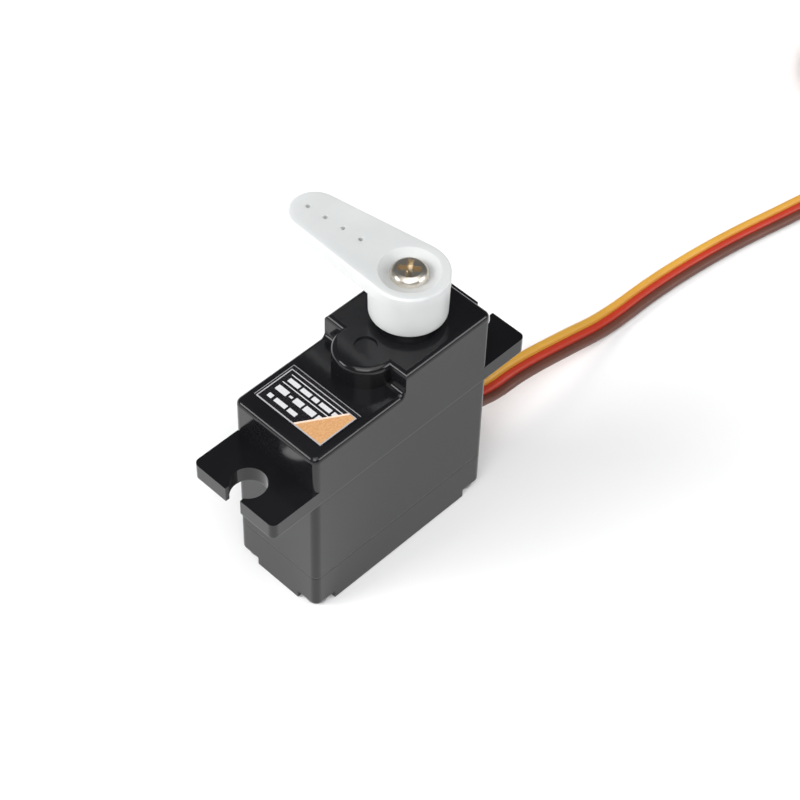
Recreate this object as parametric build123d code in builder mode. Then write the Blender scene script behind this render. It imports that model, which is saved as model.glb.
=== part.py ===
"""A small hobby servo motor: case, gear train, electric motor, position sensor, horn and lead.

Millimetres, +Z up. The origin is the centre of the flat pad under the case, the face it stands on.
+X points to the output shaft and the lead, and +Y is the way the horn's arm points.
"""
from build123d import *
from math import acos, cos, pi, radians, sin, tan
import os

# ---------------------------------------------------------------- driving dimensions

# case
CASE_L = 28.0
CASE_W = 13.0
CASE_R = 0.9
CORNER_Z = 1.0              # the four corners of the underside stand this high, over the pad
CORNER_NOTCH = 3.1          # side of each square corner notch in the pad
SEAM_LOW = 6.2              # bottom cover meets the middle case
SEAM_HIGH = 19.8            # middle case meets the top case
LOW_TOP = 27.7
BLOCK_TOP = 30.8
STEP_X = 0.1                # the taller block runs from here to the output end
WALL = 0.85
DECK_Z = 18.6               # underside of the gear deck
LOW_CEILING = 26.8
BLOCK_CEILING = 29.9
FLOOR_Z = 1.2
LEDGE_Z = 2.2               # ledges in the corners, which carry the circuit board
TOP_FILLET = 0.7
BASE_FILLET = 0.45
SOFT_FILLET = 0.25
RIB_X = 0.6                 # rib between the motor and the position sensor
RIB_T = 0.8
RIB_BASE = 9.0

# mounting ears
EAR_LENGTH = 40.7
EAR_TOP = 22.0
EAR_R = 0.8
EAR_HOLE_X = 17.95
EAR_HOLE_R = 2.2
EAR_NECK = 2.4

# axes of the gear train, all on y = 0
MOTOR_X = -6.0
IDLER_X = 0.2
OUTPUT_X = 6.95

# round boss over the idler pin, level with the block and half sunk in it
BOSS_R = 3.9
BOSS_INNER_R = 2.95
DIMPLE_R = 1.35
DIMPLE_DEPTH = 0.25
SOCKET_H = 0.8              # ring under the ceiling that holds the idler pin
PIN_R = 0.6
PIN_BASE = 18.8
THRUST_H = 0.35             # ring on the deck, under the first gear

# case screws
SCREW_X = 12.35
SCREW_Y = 4.9
SCREW_R = 0.8
SCREW_HEAD_R = 1.3
SCREW_HEAD_H = 0.75
SCREW_TIP_Z = 25.2
SCREW_SLOT_L = 1.6
SCREW_SLOT_W = 0.4
SCREW_SLOT_DEPTH = 0.55
POST_R = 1.45
SCREW_CLEARANCE = 0.1

# fits
RUNNING = 0.04              # radial clearance of a turning shaft
SEAT = 0.02                 # radial clearance of a piece that is pushed in

# gear teeth
PRESSURE_ANGLE = radians(25)
ADDENDUM = 0.9              # in modules
DEDENDUM = 1.15
TOOTH_THINNING = 0.045      # taken off each tooth's width, for backlash
MODULE_MOTOR = 0.2
MODULE_MIDDLE = 0.25
MODULE_OUTPUT = 0.3
MOTOR_PINION_TEETH = 10
FIRST_WHEEL_TEETH = 52
MIDDLE_PINION_TEETH = 12
MIDDLE_WHEEL_TEETH = 42
THIRD_PINION_TEETH = 11
OUTPUT_TEETH = 34
FIRST_WHEEL_Z = 20.3
SECOND_WHEEL_Z = 22.1
THIRD_WHEEL_Z = 23.9
OUTPUT_WHEEL_Z = 25.6
WHEEL_FACE = 1.2
OUTPUT_FACE = 2.6
GEAR_GAP = 0.3              # left between a gear's end and what is over it
PINION_OVERLAP = 0.1        # the motor's pinion starts this much under the first wheel

# output shaft and horn
JOURNAL_R = 2.5
SPLINE_TEETH = 21
SPLINE_TIP_R = 2.45
SPLINE_ROOT_R = 2.2
SPLINE_Z = 31.8
SPLINE_TOP = 36.3
COLLAR_R = 3.9
COLLAR_TOP = 31.6
BUSH_R = 3.15
BUSH_FLANGE_R = 3.7
BUSH_FLANGE_H = 0.8
SHAFT_SOCKET_H = 2.0        # bore in the output gear that grips the sensor's shaft
SCREW_BORE_Z = 30.5         # foot of the horn screw's bore
HORN_BASE_Z = 32.0
HORN_TOP = 38.0
HUB_BASE_R = 4.58
HUB_TOP_R = 4.7
ARM_T = 1.85
ARM_LENGTH = 14.1
ARM_TIP_R = 3.19
ARM_TILT = 4.1              # degrees from +Y towards -X
ARM_HOLES = (7.2, 9.85, 12.5, 15.15)
ARM_HOLE_R = 0.28
DISH_R = 3.6                # the screw's seat opens to this at the top of the horn
HORN_SCREW_SEAT = 37.35
HORN_SCREW_TOP = 38.3
HORN_SCREW_HEAD_R = 2.25
HORN_SCREW_FLAT_R = 1.47
HORN_SCREW_CROWN_R = 2.03
HORN_SCREW_CROWN_Z = 37.95
HORN_SCREW_R = 0.85
HORN_SCREW_TIP = 30.9
RECESS_L = 2.7
RECESS_W = 0.75
RECESS_DEPTH = 0.75
RECESS_TURN = 38

# label
LABEL_X = -8.75
LABEL_Y = 0.1
LABEL_L = 6.3
LABEL_W = 10.8
LABEL_T = 0.1

# electric motor
MOTOR_R = 5.0
MOTOR_BASE = 5.0
CAN_BASE = 6.6
CAN_T = 0.5
MOTOR_SHAFT_R = 0.5
MOTOR_SHAFT_TOP = 22.1
MOTOR_SHAFT_BASE = 5.35
COLLAR_OF_CAN_R = 1.7
COLLAR_OF_CAN_H = 0.9
MOTOR_BUSH_R = 1.2
MOTOR_BUSH_H = 0.9
MOTOR_BUSH_Z = 5.3
END_CAP_FLOOR = 0.6
END_CAP_WALL = 0.8
END_CAP_HUB_R = 1.8
END_CAP_HUB_H = 1.2
MAGNET_T = 0.8
MAGNET_SPACE = 4.4          # open stretch between the two magnets
ARMATURE_R = 3.4
ARMATURE_Z = 9.6
ARMATURE_H = 6.4
POLE_T = 0.6
POLE_SLOT = 1.6
SPOKE_W = 0.9
CORE_HUB_R = 1.3
WINDING_R = 1.95            # middle of each coil, from the shaft
WINDING_L = 1.1
WINDING_T = 0.6
WINDING_W = 2.1
WINDING_OVERHANG = 0.7
COMMUTATOR_R = 1.1
COMMUTATOR_Z = 6.5
COMMUTATOR_H = 2.0
COMMUTATOR_GAP = 0.12
BRUSH_X = 1.3
BRUSH_T = 0.25
BRUSH_L = 5.6
BRUSH_Z = 6.8
BRUSH_H = 1.1
BRUSH_FOOT_Y = 2.4
BRUSH_FOOT_L = 0.8
TERMINAL_Y = 3.0
TERMINAL_L = 1.2
TERMINAL_T = 0.3

# position sensor, a small potentiometer under the output shaft
POT_R = 4.9
POT_BASE = 13.4
POT_WALL = 0.7
POT_SHAFT_R = 1.0
POT_SHAFT_BASE = 13.0
TRACK_R = 3.9
TRACK_INNER_R = 2.3
TRACK_T = 0.4
TRACK_GAP = 1.6
WIPER_R = 1.9
WIPER_LIFT = 0.6
WIPER_T = 0.6
WIPER_ARM_L = 3.2
WIPER_ARM_W = 1.4
WIPER_ARM_X = -2.2
POT_PIN_X = -3.2            # from the output's axis
POT_PIN_PITCH = 2.0
POT_PIN_H = 1.2
POT_PIN_L = 0.3
POT_PIN_W = 0.8
POT_LEAD_R = 0.3

# circuit board
BOARD_T = 0.8
BOARD_L = 25.6
BOARD_W = 10.8
CONTROL_CHIP = (-1.8, 0, 3.8, 3.8, 0.9)             # x, y, length, width, height
DRIVER_CHIP = (3.0, 1.8, 1.0)                       # length, width, height
DRIVER_PLACES = ((6.6, 3.2), (6.6, -3.2))
CAPACITOR = (1.6, 0.8, 0.8)
CAPACITOR_PLACES = ((-11.4, 1.5), (-11.4, -1.5), (1.4, 3.9), (1.4, -3.9))
RESISTOR = (1.0, 0.5, 0.35)
RESISTOR_X = -8.0
RESISTOR_PITCH_X = 2.2
RESISTOR_PITCH_Y = 2.4

# lead: three wires side by side
WIRE_D = 1.17
RIBBON_W = 3 * WIRE_D
EXIT_Z = 7.4
SLOT_W = 4.2
SLOT_H = 2.4
RELIEF_END_X = 18.2
RELIEF_MARGIN = 0.3
GROMMET_FLANGE = 0.7
GROMMET_R = 0.5
INNER_WIRE_R = 0.5
INNER_DROP_X = 9.6
INNER_BEND_R = 1.6
FLOOR_LINE = 0.62           # height of the lead's middle where it lies flat
LEAD_ROUTE = [              # from the strain relief down to the floor, then on to the hank
    (RELIEF_END_X, 0.0, 6.9),
    (25.5, 0.0, 4.7),
    (34.5, 0.0, 1.35),
    (43.5, 0.0, FLOOR_LINE),
    (55.0, 0.0, FLOOR_LINE),
    (67.5, -1.4, FLOOR_LINE),
    (81.0, -4.3, FLOOR_LINE),
    (94.5, -6.6, FLOOR_LINE),
    (107.5, -7.15, FLOOR_LINE),
]
HANK_X = 126.0
HANK_Y = 4.0
HANK_RUN = 32.0             # straight stretch of each side
HANK_R = 10.5               # middle of the turns at each end
HANK_T = 2.6                # two turns, side by side, with the lead standing on its edge
HANK_LIFT = 0.35
TAIL_ROUTE = [              # from the inner turn of the hank to the plug
    (142.0, 13.85, FLOOR_LINE),
    (137.1, 13.5, FLOOR_LINE),
    (132.5, 11.4, FLOOR_LINE),
    (128.0, 8.2, FLOOR_LINE),
    (123.3, 5.3, FLOOR_LINE),
    (118.2, 4.4, FLOOR_LINE),
]
TIE_T = 0.35
TIE_W = 2.4

# plug on the end of the lead
PLUG_L = 14.0
PLUG_W = 7.7
PLUG_H = 2.6
PIN_PITCH = 2.54
CAVITY_W = 1.7
CAVITY_H = 1.5
CONTACT_L = 9.0
CONTACT_BORE = 0.7
CONTACT_INSET = 0.3
CONTACT_END = 1.0
PLUG_CHAMFER = 0.2
LATCH_X = 8.4
LATCH_L = 2.4
LATCH_W = 1.3
LATCH_DEPTH = 0.55

PARTS = []


def keep(builder, label):
    """Label a finished piece and remember it for writing."""
    builder.part.label = label
    PARTS.append(builder.part)


# ---------------------------------------------------------------- gear outlines

def involute(angle):
    return tan(angle) - angle


def gear_outline(teeth, module, tooth_at):
    """Corner points of an involute gear, with one tooth centred at the angle tooth_at."""
    pitch_r = module * teeth / 2
    base_r = pitch_r * cos(PRESSURE_ANGLE)
    tip_r = pitch_r + ADDENDUM * module
    root_r = pitch_r - DEDENDUM * module
    half_pitch = pi / (2 * teeth) - TOOTH_THINNING / (2 * pitch_r)
    start_r = max(base_r, root_r)
    flank = [start_r + (tip_r - start_r) * step / 3 for step in range(4)]
    half = [half_pitch + involute(PRESSURE_ANGLE) - involute(acos(min(1, base_r / r))) for r in flank]
    if root_r < base_r:
        flank.insert(0, root_r)
        half.insert(0, half[0])
    points = []
    for tooth in range(teeth):
        middle = tooth_at + 2 * pi * tooth / teeth
        rising = [(r, middle - h) for r, h in zip(flank, half)]
        falling = [(r, middle + h) for r, h in zip(flank, half)]
        for r, angle in rising + falling[::-1]:
            points.append((r * cos(angle), r * sin(angle)))
    return points


def space_towards(teeth, direction):
    """The tooth angle that puts a space, not a tooth, in the direction."""
    return direction + pi / teeth


def rim(x, z, face, teeth, module, tooth_at):
    """Add a toothed rim to the part that is being built."""
    with BuildSketch(Plane((x, 0, z))) as outline:
        with BuildLine():
            Polyline(*gear_outline(teeth, module, tooth_at), close=True)
        make_face()
    extrude(outline.sketch, amount=face)


def bar(x, y, z, radius, height, mode=Mode.ADD):
    """Add or cut a round bar that stands on the height z."""
    with BuildSketch(Plane((x, y, z))) as outline:
        Circle(radius)
    extrude(outline.sketch, amount=height, mode=mode)


def block(x, y, z, length, width, height, mode=Mode.ADD):
    """Add or cut a plain block that stands on the height z, centred on x, y."""
    with BuildSketch(Plane((x, y, z))) as outline:
        Rectangle(length, width)
    extrude(outline.sketch, amount=height, mode=mode)


def case_posts():
    return GridLocations(2 * SCREW_X, 2 * SCREW_Y, 2, 2)


INNER_L = CASE_L - 2 * WALL
INNER_W = CASE_W - 2 * WALL


# ---------------------------------------------------------------- case

with BuildPart() as case_top:
    with BuildSketch(Plane.XY.offset(SEAM_HIGH)):
        RectangleRounded(CASE_L, CASE_W, CASE_R)
    extrude(amount=LOW_TOP - SEAM_HIGH)
    with BuildSketch(Plane.XY.offset(LOW_TOP)):
        RectangleRounded(CASE_L, CASE_W, CASE_R)
        with Locations((STEP_X - CASE_L / 2, 0)):
            Rectangle(CASE_L, CASE_W, mode=Mode.SUBTRACT)
        with Locations((IDLER_X, 0)):
            Circle(BOSS_R)
    extrude(amount=BLOCK_TOP - LOW_TOP)
    fillet(case_top.edges().group_by(Axis.Z)[-1], TOP_FILLET)
    low_rim = [
        edge
        for edge in case_top.edges().filter_by_position(Axis.Z, LOW_TOP - SEAT, LOW_TOP + SEAT)
        if max(abs(edge.center().X), abs(edge.center().Y)) > BOSS_R + TOP_FILLET
    ]
    fillet(low_rim, TOP_FILLET)
    # ears, each with a hole that is open to its end
    with BuildSketch(Plane.XY.offset(SEAM_HIGH)):
        RectangleRounded(EAR_LENGTH, CASE_W, EAR_R)
    extrude(amount=EAR_TOP - SEAM_HIGH)
    with BuildSketch(Plane.XY.offset(SEAM_HIGH)):
        with Locations((EAR_HOLE_X, 0), (-EAR_HOLE_X, 0)):
            Circle(EAR_HOLE_R)
        with Locations((EAR_LENGTH / 2, 0), (-EAR_LENGTH / 2, 0)):
            Rectangle(2 * (EAR_LENGTH / 2 - EAR_HOLE_X), EAR_NECK)
    extrude(amount=EAR_TOP - SEAM_HIGH, mode=Mode.SUBTRACT)
    # collar round the output shaft
    bar(OUTPUT_X, 0, BLOCK_TOP, COLLAR_R, COLLAR_TOP - BLOCK_TOP)
    # room for the gears
    with BuildSketch(Plane.XY.offset(SEAM_HIGH)):
        Rectangle(INNER_L, INNER_W)
        with case_posts():
            Circle(POST_R, mode=Mode.SUBTRACT)
    extrude(amount=LOW_CEILING - SEAM_HIGH, mode=Mode.SUBTRACT)
    with BuildSketch(Plane.XY.offset(LOW_CEILING)):
        with Locations(((STEP_X + WALL + INNER_L / 2) / 2, 0)):
            Rectangle(INNER_L / 2 - STEP_X - WALL, INNER_W)
        with case_posts():
            Circle(POST_R, mode=Mode.SUBTRACT)
        with Locations((IDLER_X, 0)):
            Circle(BOSS_INNER_R)
    extrude(amount=BLOCK_CEILING - LOW_CEILING, mode=Mode.SUBTRACT)
    # seats for the bush, the idler pin and the case screws
    bar(OUTPUT_X, 0, BLOCK_CEILING, BUSH_R, COLLAR_TOP - BLOCK_CEILING, Mode.SUBTRACT)
    bar(IDLER_X, 0, BLOCK_CEILING - SOCKET_H, 2 * PIN_R, SOCKET_H)
    bar(IDLER_X, 0, BLOCK_CEILING - SOCKET_H, PIN_R, SOCKET_H, Mode.SUBTRACT)
    bar(IDLER_X, 0, BLOCK_TOP - DIMPLE_DEPTH, DIMPLE_R, DIMPLE_DEPTH, Mode.SUBTRACT)
    with BuildSketch(Plane.XY.offset(SEAM_HIGH)):
        with case_posts():
            Circle(SCREW_R)
    extrude(amount=SCREW_TIP_Z + SCREW_CLEARANCE - SEAM_HIGH, mode=Mode.SUBTRACT)
keep(case_top, "case_top")

with BuildPart() as case_middle:
    with BuildSketch(Plane.XY.offset(SEAM_LOW)):
        RectangleRounded(CASE_L, CASE_W, CASE_R)
    extrude(amount=SEAM_HIGH - SEAM_LOW)
    with BuildSketch(Plane.XY.offset(SEAM_LOW)):
        Rectangle(INNER_L, INNER_W)
        with case_posts():
            Circle(POST_R, mode=Mode.SUBTRACT)
    extrude(amount=DECK_Z - SEAM_LOW, mode=Mode.SUBTRACT)
    block(RIB_X, 0, RIB_BASE, RIB_T, INNER_W, DECK_Z - RIB_BASE)
    bar(IDLER_X, 0, SEAM_HIGH, 2 * PIN_R, THRUST_H)
    bar(IDLER_X, 0, PIN_BASE, PIN_R, SEAM_HIGH + THRUST_H - PIN_BASE, Mode.SUBTRACT)
    bar(MOTOR_X, 0, DECK_Z, COLLAR_OF_CAN_R + SCREW_CLEARANCE, SEAM_HIGH - DECK_Z, Mode.SUBTRACT)
    bar(OUTPUT_X, 0, DECK_Z, POT_SHAFT_R + RUNNING, SEAM_HIGH - DECK_Z, Mode.SUBTRACT)
    with BuildSketch(Plane.XY.offset(SEAM_LOW)):
        with case_posts():
            Circle(SCREW_R + SCREW_CLEARANCE)
    extrude(amount=SEAM_HIGH - SEAM_LOW, mode=Mode.SUBTRACT)
    # the lead's way out
    block(CASE_L / 2, 0, SEAM_LOW, 4 * WALL, SLOT_W, SLOT_H, Mode.SUBTRACT)
keep(case_middle, "case_middle")

with BuildPart() as case_bottom:
    with BuildSketch(Plane.XY.offset(CORNER_Z)):
        RectangleRounded(CASE_L, CASE_W, CASE_R)
    extrude(amount=SEAM_LOW - CORNER_Z)
    fillet(case_bottom.edges().group_by(Axis.Z)[0], BASE_FILLET)
    with BuildSketch():
        Rectangle(CASE_L - 2 * CORNER_NOTCH, CASE_W)
        Rectangle(CASE_L, CASE_W - 2 * CORNER_NOTCH)
    extrude(amount=CORNER_Z + BASE_FILLET)
    fillet(case_bottom.edges().group_by(Axis.Z)[0], SOFT_FILLET)
    # ledges for the board, and the room over them
    with BuildSketch(Plane.XY.offset(FLOOR_Z)):
        Rectangle(INNER_L - 2 * CORNER_NOTCH, INNER_W)
        Rectangle(INNER_L, INNER_W - 2 * CORNER_NOTCH)
    extrude(amount=LEDGE_Z - FLOOR_Z, mode=Mode.SUBTRACT)
    with BuildSketch(Plane.XY.offset(LEDGE_Z)):
        Rectangle(INNER_L, INNER_W)
        with case_posts():
            Circle(POST_R, mode=Mode.SUBTRACT)
    extrude(amount=SEAM_LOW - LEDGE_Z, mode=Mode.SUBTRACT)
    with BuildSketch():
        with case_posts():
            Circle(SCREW_R + SCREW_CLEARANCE)
    extrude(amount=SEAM_LOW, mode=Mode.SUBTRACT)
keep(case_bottom, "case_bottom")

with BuildPart() as case_screws:
    with BuildSketch(Plane.XY.offset(CORNER_Z - SCREW_HEAD_H)):
        with case_posts():
            Circle(SCREW_HEAD_R)
    extrude(amount=SCREW_HEAD_H)
    fillet(case_screws.edges().group_by(Axis.Z)[0], SOFT_FILLET)
    with BuildSketch(Plane.XY.offset(CORNER_Z)):
        with case_posts():
            Circle(SCREW_R)
    extrude(amount=SCREW_TIP_Z - CORNER_Z)
    with BuildSketch(Plane.XY.offset(CORNER_Z - SCREW_HEAD_H)):
        with case_posts():
            Rectangle(SCREW_SLOT_L, SCREW_SLOT_W)
            Rectangle(SCREW_SLOT_W, SCREW_SLOT_L)
    extrude(amount=SCREW_SLOT_DEPTH, mode=Mode.SUBTRACT)
keep(case_screws, "case_screws")

with BuildPart() as label:
    with BuildSketch(Plane((LABEL_X, LABEL_Y, LOW_TOP))):
        RectangleRounded(LABEL_L, LABEL_W, SOFT_FILLET)
    extrude(amount=LABEL_T)
keep(label, "label")

with BuildPart() as output_bush:
    bar(OUTPUT_X, 0, BLOCK_CEILING - BUSH_FLANGE_H, BUSH_FLANGE_R, BUSH_FLANGE_H)
    bar(OUTPUT_X, 0, BLOCK_CEILING, BUSH_R, COLLAR_TOP - BLOCK_CEILING)
    bore_h = COLLAR_TOP - BLOCK_CEILING + BUSH_FLANGE_H
    bar(OUTPUT_X, 0, BLOCK_CEILING - BUSH_FLANGE_H, JOURNAL_R + RUNNING, bore_h, Mode.SUBTRACT)
keep(output_bush, "output_bush")

with BuildPart() as idler_pin:
    bar(IDLER_X, 0, PIN_BASE, PIN_R, BLOCK_CEILING - PIN_BASE)
keep(idler_pin, "idler_pin")


# ---------------------------------------------------------------- gears

with BuildPart() as motor_pinion:
    pinion_base = FIRST_WHEEL_Z - PINION_OVERLAP
    pinion_h = MOTOR_SHAFT_TOP - FIRST_WHEEL_Z
    rim(MOTOR_X, pinion_base, pinion_h, MOTOR_PINION_TEETH, MODULE_MOTOR, 0)
    bar(MOTOR_X, 0, pinion_base, MOTOR_SHAFT_R, pinion_h, Mode.SUBTRACT)
keep(motor_pinion, "motor_pinion")

with BuildPart() as first_gear:
    rim(IDLER_X, FIRST_WHEEL_Z, WHEEL_FACE, FIRST_WHEEL_TEETH, MODULE_MOTOR,
        space_towards(FIRST_WHEEL_TEETH, pi))
    rim(IDLER_X, FIRST_WHEEL_Z + WHEEL_FACE, THIRD_WHEEL_Z - FIRST_WHEEL_Z - WHEEL_FACE - GEAR_GAP,
        MIDDLE_PINION_TEETH, MODULE_MIDDLE, 0)
    bar(IDLER_X, 0, FIRST_WHEEL_Z, PIN_R + RUNNING, THIRD_WHEEL_Z - FIRST_WHEEL_Z, Mode.SUBTRACT)
keep(first_gear, "first_gear")

with BuildPart() as second_gear:
    rim(OUTPUT_X, SECOND_WHEEL_Z, WHEEL_FACE, MIDDLE_WHEEL_TEETH, MODULE_MIDDLE,
        space_towards(MIDDLE_WHEEL_TEETH, pi))
    rim(OUTPUT_X, SECOND_WHEEL_Z + WHEEL_FACE, OUTPUT_WHEEL_Z - SECOND_WHEEL_Z - WHEEL_FACE - GEAR_GAP,
        MIDDLE_PINION_TEETH, MODULE_MIDDLE, pi)
    bar(OUTPUT_X, 0, SECOND_WHEEL_Z, POT_SHAFT_R + RUNNING, OUTPUT_WHEEL_Z - SECOND_WHEEL_Z, Mode.SUBTRACT)
keep(second_gear, "second_gear")

with BuildPart() as third_gear:
    rim(IDLER_X, THIRD_WHEEL_Z, WHEEL_FACE, MIDDLE_WHEEL_TEETH, MODULE_MIDDLE,
        space_towards(MIDDLE_WHEEL_TEETH, 0))
    third_top = BLOCK_CEILING - SOCKET_H - GEAR_GAP
    rim(IDLER_X, THIRD_WHEEL_Z + WHEEL_FACE, third_top - THIRD_WHEEL_Z - WHEEL_FACE,
        THIRD_PINION_TEETH, MODULE_OUTPUT, 0)
    bar(IDLER_X, 0, THIRD_WHEEL_Z, PIN_R + RUNNING, third_top - THIRD_WHEEL_Z, Mode.SUBTRACT)
keep(third_gear, "third_gear")

with BuildPart() as output_gear:
    rim(OUTPUT_X, OUTPUT_WHEEL_Z, OUTPUT_FACE, OUTPUT_TEETH, MODULE_OUTPUT,
        space_towards(OUTPUT_TEETH, pi))
    shoulder_z = OUTPUT_WHEEL_Z + OUTPUT_FACE
    bar(OUTPUT_X, 0, shoulder_z, BUSH_R, BUSH_FLANGE_H)
    bar(OUTPUT_X, 0, shoulder_z, JOURNAL_R, SPLINE_Z - shoulder_z)
    # splined end that carries the horn
    with BuildSketch(Plane((OUTPUT_X, 0, SPLINE_Z))):
        with BuildLine():
            spline_points = []
            for tooth in range(2 * SPLINE_TEETH):
                spline_r = SPLINE_ROOT_R if tooth % 2 else SPLINE_TIP_R
                spline_angle = pi * tooth / SPLINE_TEETH
                spline_points.append((spline_r * cos(spline_angle), spline_r * sin(spline_angle)))
            Polyline(*spline_points, close=True)
        make_face()
    extrude(amount=SPLINE_TOP - SPLINE_Z)
    bar(OUTPUT_X, 0, OUTPUT_WHEEL_Z, POT_SHAFT_R, SHAFT_SOCKET_H, Mode.SUBTRACT)
    bar(OUTPUT_X, 0, SCREW_BORE_Z, HORN_SCREW_R, SPLINE_TOP - SCREW_BORE_Z, Mode.SUBTRACT)
keep(output_gear, "output_gear")


# ---------------------------------------------------------------- horn and its screw

ARM_ANGLE = radians(90 + ARM_TILT)


def along_arm(distance):
    """The point on the arm's middle line at the distance from the output axis."""
    return (OUTPUT_X + distance * cos(ARM_ANGLE), distance * sin(ARM_ANGLE))


with BuildPart() as horn:
    with BuildSketch(Plane((OUTPUT_X, 0, HORN_BASE_Z))) as hub_base:
        Circle(HUB_BASE_R)
    with BuildSketch(Plane((OUTPUT_X, 0, HORN_TOP))) as hub_top:
        Circle(HUB_TOP_R)
    loft()
    with BuildSketch(Plane.XY.offset(HORN_TOP - ARM_T)):
        with Locations((OUTPUT_X, 0)):
            Circle(HUB_TOP_R)
        with Locations(along_arm(ARM_LENGTH)):
            Circle(ARM_TIP_R)
        make_hull()
    extrude(amount=ARM_T)
    fillet(horn.edges().group_by(Axis.Z)[-1], SOFT_FILLET)
    bar(OUTPUT_X, 0, HORN_BASE_Z, SPLINE_TIP_R + SEAT, SPLINE_TOP + SEAT - HORN_BASE_Z, Mode.SUBTRACT)
    hub_h = HORN_TOP - HORN_BASE_Z
    bar(OUTPUT_X, 0, HORN_BASE_Z, HORN_SCREW_R + SCREW_CLEARANCE, hub_h, Mode.SUBTRACT)
    with BuildSketch(Plane((OUTPUT_X, 0, HORN_SCREW_SEAT))) as dish_floor:
        Circle(HORN_SCREW_HEAD_R + SCREW_CLEARANCE)
    with BuildSketch(Plane((OUTPUT_X, 0, HORN_TOP))) as dish_rim:
        Circle(DISH_R)
    loft(sections=[dish_floor.sketch, dish_rim.sketch], mode=Mode.SUBTRACT)
    with BuildSketch(Plane.XY.offset(HORN_TOP - ARM_T)):
        with Locations(*[along_arm(distance) for distance in ARM_HOLES]):
            Circle(ARM_HOLE_R)
    extrude(amount=ARM_T, mode=Mode.SUBTRACT)
keep(horn, "horn")

with BuildPart() as horn_screw:
    with BuildSketch(Plane.XZ) as screw_half:
        with BuildLine():
            head_side = Line((OUTPUT_X, HORN_SCREW_TOP), (OUTPUT_X + HORN_SCREW_FLAT_R, HORN_SCREW_TOP))
            ThreePointArc(
                head_side @ 1,
                (OUTPUT_X + HORN_SCREW_CROWN_R, HORN_SCREW_CROWN_Z),
                (OUTPUT_X + HORN_SCREW_HEAD_R, HORN_SCREW_SEAT),
            )
            Polyline(
                (OUTPUT_X + HORN_SCREW_HEAD_R, HORN_SCREW_SEAT),
                (OUTPUT_X + HORN_SCREW_R, HORN_SCREW_SEAT),
                (OUTPUT_X + HORN_SCREW_R, HORN_SCREW_TIP),
                (OUTPUT_X, HORN_SCREW_TIP),
                (OUTPUT_X, HORN_SCREW_TOP),
            )
        make_face()
    revolve(axis=Axis((OUTPUT_X, 0, 0), (0, 0, 1)))
    with BuildSketch(Plane((OUTPUT_X, 0, HORN_SCREW_TOP))):
        Rectangle(RECESS_L, RECESS_W, rotation=RECESS_TURN)
        Rectangle(RECESS_W, RECESS_L, rotation=RECESS_TURN)
    extrude(amount=-RECESS_DEPTH, taper=12, mode=Mode.SUBTRACT)
keep(horn_screw, "horn_screw")


# ---------------------------------------------------------------- electric motor

with BuildPart() as motor_can:
    bar(MOTOR_X, 0, CAN_BASE, MOTOR_R, DECK_Z - CAN_BASE)
    bar(MOTOR_X, 0, CAN_BASE, MOTOR_R - CAN_T, DECK_Z - CAN_BASE - CAN_T, Mode.SUBTRACT)
    bar(MOTOR_X, 0, DECK_Z, COLLAR_OF_CAN_R, COLLAR_OF_CAN_H)
    bar(MOTOR_X, 0, DECK_Z - CAN_T, MOTOR_BUSH_R, CAN_T + COLLAR_OF_CAN_H, Mode.SUBTRACT)
keep(motor_can, "motor_can")

with BuildPart() as motor_end_cap:
    bar(MOTOR_X, 0, MOTOR_BASE, MOTOR_R, CAN_BASE - MOTOR_BASE)
    bar(MOTOR_X, 0, MOTOR_BASE + END_CAP_FLOOR, MOTOR_R - END_CAP_WALL, CAN_BASE - MOTOR_BASE, Mode.SUBTRACT)
    bar(MOTOR_X, 0, MOTOR_BASE, END_CAP_HUB_R, END_CAP_HUB_H)
    bar(MOTOR_X, 0, MOTOR_BUSH_Z, MOTOR_BUSH_R, MOTOR_BUSH_H, Mode.SUBTRACT)
keep(motor_end_cap, "motor_end_cap")

with BuildPart() as motor_bushes:
    bar(MOTOR_X, 0, DECK_Z - CAN_T, MOTOR_BUSH_R, CAN_T + COLLAR_OF_CAN_H)
    bar(MOTOR_X, 0, MOTOR_BUSH_Z, MOTOR_BUSH_R, MOTOR_BUSH_H)
    bar(MOTOR_X, 0, MOTOR_BASE, MOTOR_SHAFT_R + RUNNING, MOTOR_SHAFT_TOP - MOTOR_BASE, Mode.SUBTRACT)
keep(motor_bushes, "motor_bushes")

with BuildPart() as motor_magnets:
    bar(MOTOR_X, 0, ARMATURE_Z, MOTOR_R - CAN_T, ARMATURE_H)
    bar(MOTOR_X, 0, ARMATURE_Z, MOTOR_R - CAN_T - MAGNET_T, ARMATURE_H, Mode.SUBTRACT)
    block(MOTOR_X, 0, ARMATURE_Z, MAGNET_SPACE, 2 * MOTOR_R, ARMATURE_H, Mode.SUBTRACT)
keep(motor_magnets, "motor_magnets")

with BuildPart() as motor_brushes:
    with BuildSketch(Plane((MOTOR_X, 0, BRUSH_Z))):
        with Locations((BRUSH_X, 0), (-BRUSH_X, 0)):
            Rectangle(BRUSH_T, BRUSH_L)
    extrude(amount=BRUSH_H)
    # feet that stand in the end cap
    with BuildSketch(Plane((MOTOR_X, 0, MOTOR_BASE + END_CAP_FLOOR))):
        with GridLocations(2 * BRUSH_X, 2 * BRUSH_FOOT_Y, 2, 2):
            Rectangle(BRUSH_T, BRUSH_FOOT_L)
    extrude(amount=BRUSH_Z - MOTOR_BASE - END_CAP_FLOOR)
keep(motor_brushes, "motor_brushes")

with BuildPart() as motor_terminals:
    with BuildSketch(Plane((MOTOR_X, 0, LEDGE_Z + BOARD_T))):
        with Locations((0, TERMINAL_Y), (0, -TERMINAL_Y)):
            Rectangle(TERMINAL_L, TERMINAL_T)
    extrude(amount=MOTOR_BASE - LEDGE_Z - BOARD_T)
keep(motor_terminals, "motor_terminals")

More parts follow.
